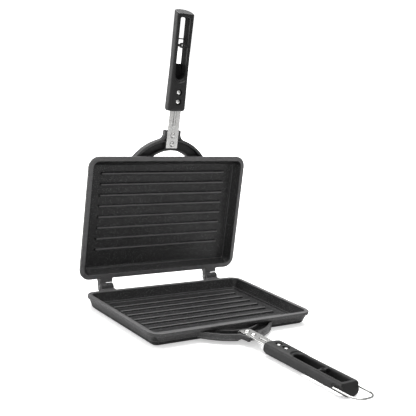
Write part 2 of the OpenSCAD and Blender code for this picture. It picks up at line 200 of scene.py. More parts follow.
def lathe(name: str, outline: list[tuple[float, float]], steps: int = 32) -> bpy.types.Mesh:
    """Turns an outline about the Z axis into a closed body.

    Args:
        name: name of the mesh.
        outline: (radius, height) pairs in millimetres, from the bottom pole to the top pole.
        steps: number of corners round the axis.

    Returns:
        The turned mesh, its faces outwards.
    """
    points = [Vector((0, 0, outline[0][1])) * MM]
    rings = outline[1:-1]
    for radius, height in rings:
        points += circle(radius, height, steps)
    points.append(Vector((0, 0, outline[-1][1])) * MM)
    last = len(points) - 1
    faces = []
    for i in range(steps):
        k = (i + 1) % steps
        faces.append([0, 1 + k, 1 + i])
        for j in range(len(rings) - 1):
            low, high = 1 + j * steps, 1 + (j + 1) * steps
            faces.append([low + i, low + k, high + k, high + i])
        top = 1 + (len(rings) - 1) * steps
        faces.append([top + i, top + k, last])
    return new_mesh(name, points, faces)


def shaded(mesh: bpy.types.Mesh, shade: Shade) -> bpy.types.Mesh:
    """Shades a mesh smooth with its hard edges kept.

    Args:
        mesh: the mesh to shade, changed in place.
        shade: which angle keeps an edge hard.

    Returns:
        The same mesh.
    """
    mesh.shade_smooth()
    mesh.set_sharp_from_angle(angle=math.radians(shade.value))
    return mesh


def store_place(mesh: bpy.types.Mesh, half: Half) -> None:
    """Keeps each point's place in its half's own frame, which the finishes read.

    Args:
        mesh: the finished mesh, in the row frame.
        half: the half that the piece belongs to.
    """
    count = len(mesh.vertices)
    places = np.zeros(count * 3, np.float32)
    mesh.vertices.foreach_get("co", places)
    turned = places.reshape(-1, 3) @ np.array(half.placing.to_3x3()).T
    turned = turned + np.array(half.placing.translation)
    attribute = mesh.attributes.new(PLACE, "FLOAT_VECTOR", "POINT")
    attribute.data.foreach_set("vector", turned.astype(np.float32).ravel())


def finished(
    name: str, mesh: bpy.types.Mesh, half: Half, body: str, nodes: list[str]
) -> bpy.types.Object:
    """Makes the shown piece from a finished mesh and ties it to the frame.

    Args:
        name: name of the piece.
        mesh: its mesh, in the row frame.
        half: the half whose own frame its finish reads.
        body: CAD body that it rides on.
        nodes: CAD nodes that it stands for.

    Returns:
        The piece.
    """
    store_place(mesh, half)
    mesh.name = name
    piece = bpy.data.objects.new(name, mesh)
    bpy.context.scene.collection.objects.link(piece)
    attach(piece, body)
    if nodes:
        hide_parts(*nodes)
    LOG.info("%s: %d faces, on %s", name, len(mesh.polygons), body)
    return piece


# ---------------------------------------------------------------------------------------------
# Node helpers
# ---------------------------------------------------------------------------------------------


class Graph:
    """A short way to write a node tree."""

    def __init__(self, tree: bpy.types.NodeTree) -> None:
        """Starts on an empty tree."""
        self.tree = tree

    def put(self, socket: Socket, value: Term) -> None:
        """Links a socket to an output, or sets its constant.

        Args:
            socket: the input socket.
            value: a constant or an output socket.
        """
        if isinstance(value, bpy.types.NodeSocket):
            self.tree.links.new(value, socket)
        else:
            socket.default_value = value

    def add(self, kind: str, values: dict | None = None, **settings: object) -> bpy.types.Node:
        """Adds a node.

        Args:
            kind: the node's type name.
            values: input name or number to a constant or an output socket.
            settings: the node's own properties.

        Returns:
            The new node.
        """
        node = self.tree.nodes.new(kind)
        for key, value in settings.items():
            setattr(node, key, value)
        for key, value in (values or {}).items():
            self.put(node.inputs[key], value)
        return node

    def math(self, operation: str, *terms: Term) -> Socket:
        """Adds a Math node.

        Args:
            operation: the node's operation.
            terms: constants or sockets.

        Returns:
            The result's socket.
        """
        values = dict(enumerate(terms))
        return self.add("ShaderNodeMath", values, operation=operation).outputs[0]

    def spread(
        self, value: Term, low: float, high: float, to_low: float, to_high: float
    ) -> Socket:
        """Maps a value from one span onto another, held at both ends.

        Args:
            value: the socket to map.
            low: start of the span.
            high: end of the span.
            to_low: result at the start.
            to_high: result at the end.

        Returns:
            The result's socket.
        """
        values = {"Value": value, 1: low, 2: high, 3: to_low, 4: to_high}
        return self.add("ShaderNodeMapRange", values, interpolation_type="SMOOTHSTEP").outputs[0]

    def blend(self, share: Term, first: Term, second: Term) -> Socket:
        """Mixes two colours.

        Args:
            share: how much of the second colour shows.
            first: colour or socket.
            second: colour or socket.

        Returns:
            The mixed colour's socket.
        """
        values = {"Factor": share, 6: first, 7: second}
        return self.add("ShaderNodeMix", values, data_type="RGBA").outputs[2]


def new_tree(name: str, kind: str, inputs: list, outputs: list) -> tuple[Graph, dict, dict]:
    """Makes a node group with named sockets.

    Args:
        name: name of the group.
        kind: "ShaderNodeTree" or "GeometryNodeTree".
        inputs: (name, socket type, default) of each input.
        outputs: (name, socket type) of each output.

    Returns:
        The graph, its input sockets by name and its output node's sockets by name.
    """
    tree = bpy.data.node_groups.new(name, kind)
    for label, socket, default in inputs:
        made = tree.interface.new_socket(name=label, in_out="INPUT", socket_type=socket)
        if default is not None:
            made.default_value = default
    for label, socket in outputs:
        tree.interface.new_socket(name=label, in_out="OUTPUT", socket_type=socket)
    graph = Graph(tree)
    start = graph.add("NodeGroupInput")
    end = graph.add("NodeGroupOutput")
    return graph, {s.name: s for s in start.outputs}, {s.name: s for s in end.inputs}


def run_tree(
    tree: bpy.types.NodeTree, mesh: bpy.types.Mesh, values: dict, name: str
) -> bpy.types.Mesh:
    """Runs a geometry node tree on a mesh.

    Args:
        tree: the tree.
        mesh: the mesh that goes in.
        values: input name to value.
        name: name of the passing object.

    Returns:
        The plain mesh that comes out.
    """

    def add(carrier: bpy.types.Object) -> None:
        """Adds the tree as a modifier and sets its inputs.

        Args:
            carrier: the object that passes the mesh through.
        """
        modifier = carrier.modifiers.new(name, "NODES")
        modifier.node_group = tree
        for item in tree.interface.items_tree:
            if item.item_type == "SOCKET" and item.in_out == "INPUT" and item.name in values:
                modifier[item.identifier] = values[item.name]

    return baked(mesh, add, name)


def row_tree() -> bpy.types.NodeTree:
    """Builds the tree that sets one shape out in an even row.

    Returns:
        The geometry node tree.
    """
    graph, start, end = new_tree(
        "even_row",
        "GeometryNodeTree",
        [
            ("Shape", "NodeSocketGeometry", None),
            ("Count", "NodeSocketInt", 2),
            ("First", "NodeSocketVector", (0.0, 0.0, 0.0)),
            ("Step", "NodeSocketVector", (0.0, 0.01, 0.0)),
            ("Finish", "NodeSocketMaterial", None),
        ],
        [("Row", "NodeSocketGeometry")],
    )
    line = graph.add(
        "GeometryNodeMeshLine",
        {"Count": start["Count"], "Start Location": start["First"], "Offset": start["Step"]},
        mode="OFFSET",
    )
    row = graph.add(
        "GeometryNodeInstanceOnPoints",
        {"Points": line.outputs[0], "Instance": start["Shape"]},
    )
    real = graph.add("GeometryNodeRealizeInstances", {0: row.outputs[0]})
    done = graph.add(
        "GeometryNodeSetMaterial", {"Geometry": real.outputs[0], "Material": start["Finish"]}
    )
    graph.tree.links.new(done.outputs[0], end["Row"])
    return graph.tree


def wire_tree() -> bpy.types.NodeTree:
    """Builds the tree that bends a round wire along a line of corner points.

    Returns:
        The geometry node tree.
    """
    graph, start, end = new_tree(
        "bent_wire",
        "GeometryNodeTree",
        [
            ("Corners", "NodeSocketGeometry", None),
            ("Wire Radius", "NodeSocketFloat", 0.001),
            ("Tip Bend", "NodeSocketFloat", 0.01),
            ("Pivot Bend", "NodeSocketFloat", 0.001),
            ("Half Way", "NodeSocketFloat", 0.0),
            ("Finish", "NodeSocketMaterial", None),
        ],
        [("Wire", "NodeSocketGeometry")],
    )
    path = graph.add("GeometryNodeMeshToCurve", {0: start["Corners"]})
    place = graph.add("GeometryNodeInputPosition")
    along = graph.add("ShaderNodeSeparateXYZ", {0: place.outputs[0]})
    near_tip = graph.math("LESS_THAN", along.outputs["Y"], start["Half Way"])
    gap = graph.math("SUBTRACT", start["Tip Bend"], start["Pivot Bend"])
    bend = graph.math("MULTIPLY_ADD", gap, near_tip, start["Pivot Bend"])
    rounded = graph.add(
        "GeometryNodeFilletCurve",
        {"Curve": path.outputs[0], "Count": 14, "Radius": bend, "Limit Radius": True},
        mode="POLY",
    )
    ring = graph.add(
        "GeometryNodeCurvePrimitiveCircle", {"Resolution": 20, "Radius": start["Wire Radius"]}
    )
    wire = graph.add(
        "GeometryNodeCurveToMesh",
        {"Curve": rounded.outputs[0], "Profile Curve": ring.outputs[0], "Fill Caps": True},
    )
    real = graph.add("GeometryNodeRealizeInstances", {0: wire.outputs[0]})
    done = graph.add(
        "GeometryNodeSetMaterial", {"Geometry": real.outputs[0], "Material": start["Finish"]}
    )
    graph.tree.links.new(done.outputs[0], end["Wire"])
    return graph.tree


# ---------------------------------------------------------------------------------------------
# Effects that several finishes share
# ---------------------------------------------------------------------------------------------


def pebble_group() -> bpy.types.NodeTree:
    """Builds the fine pebbled grain of a sprayed coating or a spark-eroded mould.

    Returns:
        A group that puts out Height and Speck.
    """
    graph, start, end = new_tree(
        "pebble_grain",
        "ShaderNodeTree",
        [
            ("Place", "NodeSocketVector", (0.0, 0.0, 0.0)),
            ("Grain", "NodeSocketFloat", 900.0),
            ("Speck Share", "NodeSocketFloat", 0.5),
        ],
        [("Height", "NodeSocketFloat"), ("Speck", "NodeSocketFloat")],
    )
    broad_size, broad_share = 0.33, 0.8
    speck_size, speck_edge = 0.3, 0.14
    cells = graph.add(
        "ShaderNodeTexVoronoi",
        {"Vector": start["Place"], "Scale": start["Grain"], "Randomness": 1.0},
        feature="SMOOTH_F1",
    )
    broad = graph.add(
        "ShaderNodeTexNoise",
        {
            "Vector": start["Place"],
            "Scale": graph.math("MULTIPLY", start["Grain"], broad_size),
            "Detail": 3.0,
        },
    )
    mound = graph.math("SUBTRACT", 1.0, cells.outputs["Distance"])
    height = graph.math("MULTIPLY_ADD", broad.outputs[0], broad_share, mound)
    graph.tree.links.new(height, end["Height"])
    grit = graph.add("ShaderNodeTexVoronoi", {"Vector": start["Place"], "Scale": start["Grain"]})
    chance, _, _ = graph.add("ShaderNodeSeparateXYZ", {0: grit.outputs["Color"]}).outputs
    left_out = graph.math("SUBTRACT", 1.0, start["Speck Share"])
    over = graph.math("MAXIMUM", graph.math("SUBTRACT", chance, left_out), 0.0)
    reach = graph.math("SQRT", graph.math("MULTIPLY", over, speck_size))
    inside = graph.math("SUBTRACT", reach, grit.outputs["Distance"])
    speck = graph.spread(inside, 0.0, speck_edge, 0.0, 1.0)
    graph.tree.links.new(speck, end["Speck"])
    return graph.tree


def level_wear_group() -> bpy.types.NodeTree:
    """Builds the rubbed look and painted highlight at one height of a half, as on rib tops and
    rims.

    Returns:
        A group that puts out Mask.
    """
    graph, start, end = new_tree(
        "level_wear",
        "ShaderNodeTree",
        [
            ("Place", "NodeSocketVector", (0.0, 0.0, 0.0)),
            ("Level", "NodeSocketFloat", 0.0),
            ("Reach", "NodeSocketFloat", 0.001),
            ("Break Up", "NodeSocketFloat", 0.3),
        ],
        [("Mask", "NodeSocketFloat")],
    )
    soft_edge = 0.6
    height = graph.add("ShaderNodeSeparateXYZ", {0: start["Place"]}).outputs["Z"]
    away = graph.math("ABSOLUTE", graph.math("SUBTRACT", height, start["Level"]))
    near = graph.math("SUBTRACT", 1.0, graph.math("DIVIDE", away, start["Reach"]))
    patch = graph.add(
        "ShaderNodeTexNoise", {"Vector": start["Place"], "Scale": 160.0, "Detail": 4.0}
    )
    loss = graph.math("MULTIPLY", patch.outputs[0], start["Break Up"])
    mask = graph.spread(graph.math("SUBTRACT", near, loss), 0.0, soft_edge, 0.0, 1.0)
    graph.tree.links.new(mask, end["Mask"])
    return graph.tree


def film_group() -> bpy.types.NodeTree:
    """Builds the slow change of sheen that handling and dust leave on any surface.

    Returns:
        A group that puts out Value.
    """
    graph, start, end = new_tree(
        "dust_film",
        "ShaderNodeTree",
        [
            ("Place", "NodeSocketVector", (0.0, 0.0, 0.0)),
            ("Patch", "NodeSocketFloat", 30.0),
            ("Low", "NodeSocketFloat", 0.4),
            ("High", "NodeSocketFloat", 0.5),
        ],
        [("Value", "NodeSocketFloat")],
    )
    cloud = graph.add(
        "ShaderNodeTexNoise",
        {"Vector": start["Place"], "Scale": start["Patch"], "Detail": 5.0, "Roughness": 0.6},
    )
    value = graph.spread(cloud.outputs[0], 0.3, 0.7, 0.0, 1.0)
    graph.tree.links.new(start["Low"], value.node.inputs[3])
    graph.tree.links.new(start["High"], value.node.inputs[4])
    graph.tree.links.new(value, end["Value"])
    return graph.tree


def drawn_group() -> bpy.types.NodeTree:
    """Builds the fine lengthwise lines that rolling and drawing leave in steel.

    Returns:
        A group that puts out Line.
    """
    graph, start, end = new_tree(
        "drawn_lines",
        "ShaderNodeTree",
        [
            ("Place", "NodeSocketVector", (0.0, 0.0, 0.0)),
            ("Across", "NodeSocketVector", (1.0, 0.02, 1.0)),
            ("Fineness", "NodeSocketFloat", 2500.0),
        ],
        [("Line", "NodeSocketFloat")],
    )
    squeezed = graph.add(
        "ShaderNodeVectorMath", {0: start["Place"], 1: start["Across"]}, operation="MULTIPLY"
    )
    lines = graph.add(
        "ShaderNodeTexNoise",
        {"Vector": squeezed.outputs[0], "Scale": start["Fineness"], "Detail": 2.0},
    )
    graph.tree.links.new(lines.outputs[0], end["Line"])
    return graph.tree


class Effects:
    """The shared shader groups, each built once."""

    def __init__(self) -> None:
        """Builds every group."""
        self.pebble = pebble_group()
        self.wear = level_wear_group()
        self.film = film_group()
        self.drawn = drawn_group()


# ---------------------------------------------------------------------------------------------
# Finishes
# ---------------------------------------------------------------------------------------------


class Sheet(Graph):
    """A material's node tree with its shader, ready for a finish to fill in."""

    def __init__(self, name: str) -> None:
        """Makes the material, its Principled BSDF and its output.

        Args:
            name: name of the material.
        """
        self.material = bpy.data.materials.new(name)
        self.material.use_nodes = True
        super().__init__(self.material.node_tree)
        self.tree.nodes.clear()
        self.shader = self.add("ShaderNodeBsdfPrincipled")
        self.add("ShaderNodeOutputMaterial", {"Surface": self.shader.outputs[0]})
        self.place = self.add("ShaderNodeAttribute", attribute_name=PLACE).outputs["Vector"]

    def effect(self, group: bpy.types.NodeTree, output: str, **values: Term) -> Socket:
        """Places a shared group.

        Args:
            group: the shader group.
            output: name of the output that is wanted.
            values: its inputs, with _ for a space.

        Returns:
            The output's socket.
        """
        node = self.add("ShaderNodeGroup", node_tree=group)
        for key, value in {"Place": self.place, **values}.items():
            self.put(node.inputs[key.replace("_", " ")], value)
        return node.outputs[output]

    def feed(self, name: str, value: Term) -> None:
        """Sets or links one of the shader's own sockets."""
        self.put(self.shader.inputs[name], value)

    def squared(self, x: Socket, y: Socket) -> Socket:
        """Adds two lengths' squares, for a distance."""
        return self.math("MULTIPLY_ADD", x, x, self.math("MULTIPLY", y, y))

    def relief(self, height: Socket, depth: float, strength: float) -> None:
        """Feeds a height to the shader's normal through a Bump node."""
        values = {"Height": height, "Distance": depth, "Strength": strength}
        self.feed("Normal", self.add("ShaderNodeBump", values).outputs[0])


@dataclass(frozen=True)
class CastCoating:
    """Black non-stick coating sprayed on cast metal: fine pebbles, pale specks, rubbed tops and
    rims with a painted highlight, a lighter outside as painted light, and painted shade in the
    bow's channel.
    """

    name: str = "cast_black"
    # Painted light: the outside colour is about five times lighter than the hollow's, standing in
    # for light on the outer walls, which face down towards the dim floor.
    deep: tuple = (0.008, 0.008, 0.0083, 1.0)
    outside: tuple = (0.042, 0.0414, 0.042, 1.0)
    speck: tuple = (0.16, 0.159, 0.16, 1.0)
    rubbed: tuple = (0.17, 0.168, 0.17, 1.0)
    grain: float = 900.0
    grain_depth: float = 0.0004
    floor_level: float = 0.004
    rib_level: float = 0.0064
    rim_level: float = 0.0174
    sooty: tuple = (0.005, 0.005, 0.005, 1.0)
    cavity_x: float = 0.1146
    cavity_y: float = 0.0716
    channel_y: float = 0.0775
    channel_z: float = 0.0092
    channel_radius: float = 0.0678
    web_under: float = 0.0046
    bow_centre_y: float = -0.0285
    channel_fade: tuple = (0.002, 0.001)
    floor_margin: float = 0.0006
    hollow_edge: tuple = (-0.0002, 0.0012)
    speck_share: float = 0.75
    speck_strength: float = 0.55
    rib_reach: float = 0.0008
    rib_break_up: float = 0.6
    rim_reach: float = 0.001
    rim_break_up: float = 0.9
    rub_share: float = 0.5
    rub_polish: float = -0.06
    outer_rough: float = 0.03
    film_patch: float = 22.0
    sheen_low: float = 0.36
    sheen_high: float = 0.5
    gloss: float = 0.42
    relief_strength: float = 0.55

    def outer_mask(self, sheet: Sheet) -> bpy.types.NodeSocket:
        """Finds where the surface lies outside the cooking hollow.

        Args:
            sheet: the material's tree.

        Returns:
            A mask, 1 outside the hollow.
        """
        x, y, z = sheet.add("ShaderNodeSeparateXYZ", {0: sheet.place}).outputs
        past_x = sheet.math("SUBTRACT", sheet.math("ABSOLUTE", x), self.cavity_x)
        past_y = sheet.math("SUBTRACT", sheet.math("ABSOLUTE", y), self.cavity_y)
        below = sheet.math("SUBTRACT", self.floor_level - self.floor_margin, z)
        past = sheet.math("MAXIMUM", sheet.math("MAXIMUM", past_x, past_y), below)
        return sheet.spread(past, *self.hollow_edge, 0.0, 1.0)

    def channel_mask(self, sheet: Sheet) -> bpy.types.NodeSocket:
        """Finds the bottom of the bow's channel, which is painted near-black as painted shade.

        Args:
            sheet: the material's tree.

        Returns:
            A mask, 1 on the web.
        """
        x, y, z = sheet.add("ShaderNodeSeparateXYZ", {0: sheet.place}).outputs
        from_centre = sheet.math("SUBTRACT", y, self.bow_centre_y)
        square = sheet.squared(x, from_centre)
        within = sheet.math("LESS_THAN", sheet.math("SQRT", square), self.channel_radius)
        front = sheet.math("LESS_THAN", y, -self.channel_y)
        under, over = self.channel_fade
        low = sheet.spread(z, self.channel_z - under, self.channel_z + over, 1.0, 0.0)
        above = sheet.math("GREATER_THAN", z, self.web_under)
        share = sheet.math("MULTIPLY", sheet.math("MULTIPLY", within, front), above)
        return sheet.math("MULTIPLY", share, low)

    def build(self, effects: Effects) -> bpy.types.Material:
        """Builds the material.

        Args:
            effects: the shared shader groups.

        Returns:
            The material.
        """
        sheet = Sheet(self.name)
        outer = self.outer_mask(sheet)
        speck = sheet.effect(
            effects.pebble, "Speck", Grain=self.grain, Speck_Share=self.speck_share
        )
        height = speck.node.outputs["Height"]
        rib, rim = (
            sheet.effect(effects.wear, "Mask", Level=level, Reach=reach, Break_Up=break_up)
            for level, reach, break_up in (
                (self.rib_level, self.rib_reach, self.rib_break_up),
                (self.rim_level, self.rim_reach, self.rim_break_up),
            )
        )
        # Painted light: outside the hollow the coating takes the lighter outside colour, standing
        # in for light on the outer walls.
        body = sheet.blend(outer, self.deep, self.outside)
        shown = sheet.math("MULTIPLY", speck, self.speck_strength)
        specked = sheet.blend(shown, body, self.speck)
        rib_share = sheet.math("MULTIPLY", rib, self.rub_share)
        rub_and_highlight = sheet.math("MAXIMUM", rib_share, sheet.math("MULTIPLY", rim, self.rub_share))
        channel_shade = self.channel_mask(sheet)
        # Painted highlight: rib tops and rims take a lighter colour, for wear and for the highlight
        # along their top edges.
        worn_and_highlit = sheet.blend(rub_and_highlight, specked, self.rubbed)
        # Painted shade: the bottom of the bow's channel is painted near-black.
        sheet.feed("Base Color", sheet.blend(channel_shade, worn_and_highlit, self.sooty))
        film = sheet.effect(
            effects.film, "Value", Patch=self.film_patch, Low=self.sheen_low, High=self.sheen_high
        )
        rough = sheet.math("MULTIPLY_ADD", outer, self.outer_rough, film)
        sheet.feed("Roughness", sheet.math("MULTIPLY_ADD", rub_and_highlight, self.rub_polish, rough))
        sheet.feed("Specular IOR Level", self.gloss)
        sheet.relief(height, self.grain_depth, self.relief_strength)
        return sheet.material


@dataclass(frozen=True)
class MouldedResin:
    """Dark grey matte resin with the fine even grain of its mould."""

    name: str = "grip_black"
    dark: tuple = (0.0055, 0.0055, 0.0056, 1.0)
    light: tuple = (0.0105, 0.0103, 0.0103, 1.0)
    inside: tuple = (0.0025, 0.0025, 0.0026, 1.0)
    grain: float = 1300.0
    grain_depth: float = 0.00008
    slot_half: float = 0.0075
    slot_root: float = -0.1739
    slot_end: float = -0.2506
    slot_lip: float = 0.0146
    slot_clear: float = 0.0002
    slot_fade: float = 0.0035
    slot_rough: float = 0.5
    gloss: float = 0.45

    def slot_mask(self, sheet: Sheet) -> bpy.types.NodeSocket:
        """Finds the walls inside the long slot, which the light hardly reaches.

        Args:
            sheet: the material's tree.

        Returns:
            A mask, 1 inside the slot.
        """
        x, y, z = sheet.add("ShaderNodeSeparateXYZ", {0: sheet.place}).outputs
        past_x = sheet.math("SUBTRACT", sheet.math("ABSOLUTE", x), self.slot_half + self.slot_clear)
        past_root = sheet.math("SUBTRACT", y, self.slot_root + self.slot_clear)
        past_end = sheet.math("SUBTRACT", self.slot_end - self.slot_clear, y)
        past = sheet.math("MAXIMUM", past_x, sheet.math("MAXIMUM", past_root, past_end))
        inside = sheet.math("LESS_THAN", past, 0.0)
        low = sheet.spread(z, self.slot_lip - self.slot_fade, self.slot_lip, 1.0, 0.0)
        return sheet.math("MULTIPLY", inside, low)

    def build(self, effects: Effects) -> bpy.types.Material:
        """Builds the material.

        Args:
            effects: the shared shader groups.

        Returns:
            The material.
        """
        sheet = Sheet(self.name)
        speck = sheet.effect(effects.pebble, "Speck", Grain=self.grain, Speck_Share=0.6)
        height = speck.node.outputs["Height"]
        cloud = sheet.effect(effects.film, "Value", Patch=45.0, Low=0.0, High=0.6)
        share = sheet.math("MULTIPLY_ADD", speck, 0.35, cloud)
        skin = sheet.blend(share, self.dark, self.light)
        slot = self.slot_mask(sheet)
        # Painted shade: the walls inside the slot take a near-black colour.
        sheet.feed("Base Color", sheet.blend(slot, skin, self.inside))
        film = sheet.effect(effects.film, "Value", Patch=70.0, Low=0.42, High=0.52)
        sheet.feed("Roughness", sheet.math("MULTIPLY_ADD", slot, self.slot_rough, film))
        sheet.feed("Specular IOR Level", self.gloss)
        sheet.relief(height, self.grain_depth, 0.5)
        return sheet.material


@dataclass(frozen=True)
class BrightSteel:
    """Bright steel with drawn lines along one direction and a thin film of handling."""

    name: str
    bright: tuple = (0.82, 0.815, 0.8, 1.0)
    shade: tuple = (0.62, 0.62, 0.61, 1.0)
    across: tuple = (1.0, 0.02, 1.0)
    fineness: float = 1100.0
    line_depth: float = 0.000004
    rough_low: float = 0.2
    rough_high: float = 0.3
    line_share: float = 0.3
    relief_strength: float = 0.6

    def surface(self, sheet: Sheet, clean: Socket) -> Socket:
        """Colour of the steel as used: plain steel stays clean."""
        return clean

    def build(self, effects: Effects) -> bpy.types.Material:
        """Builds the material.

        Args:
            effects: the shared shader groups.

        Returns:
            The material.
        """
        sheet = Sheet(self.name)
        line = sheet.effect(effects.drawn, "Line", Across=self.across, Fineness=self.fineness)
        cloud = sheet.effect(effects.film, "Value", Patch=120.0, Low=0.0, High=0.5)
        share = sheet.math("MULTIPLY_ADD", line, self.line_share, cloud)
        clean = sheet.blend(share, self.bright, self.shade)
        sheet.feed("Base Color", self.surface(sheet, clean))
        sheet.feed("Metallic", 1.0)
        sheet.feed(
            "Roughness",
            sheet.effect(
                effects.film, "Value", Patch=260.0, Low=self.rough_low, High=self.rough_high
            ),
        )
        sheet.relief(line, self.line_depth, self.relief_strength)
        return sheet.material


@dataclass(frozen=True)
class StripSteel(BrightSteel):
    """The tang's strip: bright steel, darker beside its pressed bead and round its rivets with dirt
    and painted shade.
    """

    name: str = "tang_steel"
    grime: tuple = (0.09, 0.088, 0.085, 1.0)
    rivet_at: tuple = (-0.0923, -0.1035)
    rivet_head: float = 0.0031
    ring_reach: float = 0.0009
    bead_half: float = 0.0017
    bead_start: float = -0.1155
    bead_line: tuple = (0.0001, 0.0005)
    strip_face: float = 0.0118

    def dirt(self, sheet: Sheet) -> bpy.types.NodeSocket:
        """Finds the dark lines beside the pressed bead and round the rivet heads.

        Args:
            sheet: the material's tree.

        Returns:
            A mask, 1 in the dirt and painted shade.
        """
        x, y, z = sheet.add("ShaderNodeSeparateXYZ", {0: sheet.place}).outputs
        aside = sheet.math("ABSOLUTE", x)
        from_edge = sheet.math("ABSOLUTE", sheet.math("SUBTRACT", aside, self.bead_half))
        line = sheet.spread(from_edge, *self.bead_line, 1.0, 0.0)
        mask = sheet.math("MULTIPLY", line, sheet.math("LESS_THAN", y, self.bead_start))
        for centre in self.rivet_at:
            along = sheet.math("SUBTRACT", y, centre)
            away = sheet.math("SQRT", sheet.squared(x, along))
            reach = self.rivet_head + self.ring_reach
            ring = sheet.spread(away, self.rivet_head, reach, 1.0, 0.0)
            mask = sheet.math("MAXIMUM", mask, ring)
        return sheet.math("MULTIPLY", mask, sheet.math("GREATER_THAN", z, self.strip_face))

    def surface(self, sheet: Sheet, clean: Socket) -> Socket:
        """Colour of the steel as used: dirt and painted shade lie in its corners."""
        # Painted shade: the dark lines beside the bead and the rings round the rivet heads stand in
        # for the shading of the bead's sides and of the domed heads, along with some dirt.
        return sheet.blend(self.dirt(sheet), clean, self.grime)


class Finishes:
    """Every finish of the pan, built once and named by its slot in the record."""

    def __init__(self) -> None:
        """Builds the shared effects and the materials."""
        effects = Effects()
        even = (1.0, 1.0, 1.0)
        self.by_slot = {
            finish.name: finish.build(effects)
            for finish in (
                CastCoating(),
                MouldedResin(),
                StripSteel(),
                BrightSteel("rivet_steel", across=even, fineness=900.0, rough_low=0.24),
                BrightSteel(
                    "screw_steel",
                    bright=(0.95, 0.95, 0.94, 1.0),
                    shade=(0.8, 0.8, 0.79, 1.0),
                    across=even,
                    rough_low=0.1,
                    rough_high=0.2,
                ),
                BrightSteel(
                    "nut_steel", across=even, fineness=1200.0, rough_low=0.3, rough_high=0.45
                ),
                BrightSteel(
                    "wire_steel",
                    bright=(0.55, 0.55, 0.54, 1.0),
                    shade=(0.38, 0.38, 0.37, 1.0),
                    across=(1.0, 0.05, 1.0),
                    rough_low=0.12,
                    rough_high=0.22,
                ),
                BrightSteel(
                    "pin_steel",
                    bright=(0.16, 0.16, 0.16, 1.0),
                    shade=(0.09, 0.09, 0.09, 1.0),
                    across=even,
                    rough_low=0.3,
                    rough_high=0.45,
                ),
            )
        }

    def __getitem__(self, slot: str) -> bpy.types.Material:
        """The material of a slot."""
        return self.by_slot[slot]


# ---------------------------------------------------------------------------------------------
# Sub-assemblies
# ---------------------------------------------------------------------------------------------


def merged_copy(node: str, flat_angle: float = 0.4) -> bpy.types.Mesh:
    """Copies a CAD node's loose triangles into one closed skin with whole flat faces.

    Args:
        node: name of the CAD node.
        flat_angle: faces that differ by less than this, in degrees, become one.

    Returns:
        The new mesh, in the row frame.
    """
    skin = bmesh.new()
    skin.from_mesh(frame["nodes"][node].data)
    bmesh.ops.remove_doubles(skin, verts=skin.verts, dist=2e-6)
    bmesh.ops.dissolve_degenerate(skin, edges=skin.edges, dist=1e-6)
    bmesh.ops.dissolve_limit(
        skin, angle_limit=math.radians(flat_angle), verts=skin.verts, edges=skin.edges
    )
    mesh = bpy.data.meshes.new(node + "_skin")
    skin.to_mesh(mesh)
    skin.free()
    mesh.materials.clear()
    return mesh


def softened(mesh: bpy.types.Mesh, width: float, shade: Shade) -> bpy.types.Mesh:
    """Breaks the hard edges of a skin and weights its normals to the broad faces.

    Args:
        mesh: the skin.
        width: width of the broken edge, in metres; 0 leaves the edges.
        shade: which angle keeps an edge hard.

    Returns:
        The finished mesh.
    """
    shaded(mesh, shade)

    def add(carrier: bpy.types.Object) -> None:
        """Adds the bevel and the weighted normals.

        Args:
            carrier: the object that passes the mesh through.
        """
        if width:
            bevel = carrier.modifiers.new("broken_edges", "BEVEL")
            bevel.width = width
            bevel.segments = 2
            bevel.limit_method = "ANGLE"
            bevel.angle_limit = math.radians(shade.value)
            bevel.use_clamp_overlap = False
            bevel.miter_outer = "MITER_ARC"
        weighted = carrier.modifiers.new("weighted", "WEIGHTED_NORMAL")
        weighted.keep_sharp = True
        weighted.weight = 80

    return baked(mesh, add)


@dataclass
class RibField:
    """Rounded grill ribs across one tray's floor, set out in an even row."""

    half: Half
    count: int
    pitch: float
    middle_y: float
    length: float = 192.0
    floor: float = 4.0
    outline: tuple = (
        (2.15, -0.35),
        (2.15, 0.02),
        (1.82, 0.22),
        (1.58, 0.6),
        (1.45, 1.2),
        (1.28, 1.8),
        (1.0, 2.2),
        (0.62, 2.42),
        (0.2, 2.48),
    )
    end_steps: int = 9

    def ring(self, out: float, height: float) -> list[Vector]:
        """One level line of a rib: two half circles joined by straight sides.

        Args:
            out: distance from the rib's spine, in millimetres.
            height: height above the floor, in millimetres.

        Returns:
            The points of the closed line, in metres.
        """
        reach = self.length / 2 - self.outline[1][0]
        points = []
        for side in (1, -1):
            for i in range(self.end_steps + 1):
                a = math.pi * (i / self.end_steps - 0.5)
                x = side * (reach + out * math.cos(a))
                points.append(Vector((x, side * out * math.sin(a), self.floor + height)) * MM)
        return points

    def rib(self) -> bpy.types.Mesh:
        """Builds one rib at the middle of the floor.

        Returns:
            The closed mesh.
        """
        rings = [self.ring(out, height) for out, height in self.outline]
        n = len(rings[0])
        faces = [list(range(n - 1, -1, -1))]
        for j in range(len(rings) - 1):
            for i in range(n):
                k = (i + 1) % n
                faces.append([j * n + i, j * n + k, (j + 1) * n + k, (j + 1) * n + i])
        faces.append([(len(rings) - 1) * n + i for i in range(n)])
        mesh = new_mesh("rib", [p for ring in rings for p in ring], faces)
        return shaded(mesh, Shade.TURNED)

    def build(self, tree: bpy.types.NodeTree, finish: bpy.types.Material) -> bpy.types.Object:
        """Builds the ribs of this tray.

        Args:
            tree: the even row tree.
            finish: the tray's finish.

        Returns:
            The piece.
        """
        first = self.middle_y - (self.count - 1) / 2 * self.pitch
        values = {
            "Count": self.count,
            "First": (0.0, first * MM, 0.0),
            "Step": (0.0, self.pitch * MM, 0.0),
            "Finish": finish,
        }
        mesh = run_tree(tree, self.rib(), values, "rib_row")
        return set_in_half(self.half, f"{self.half.prefix}_ribs", mesh, [])


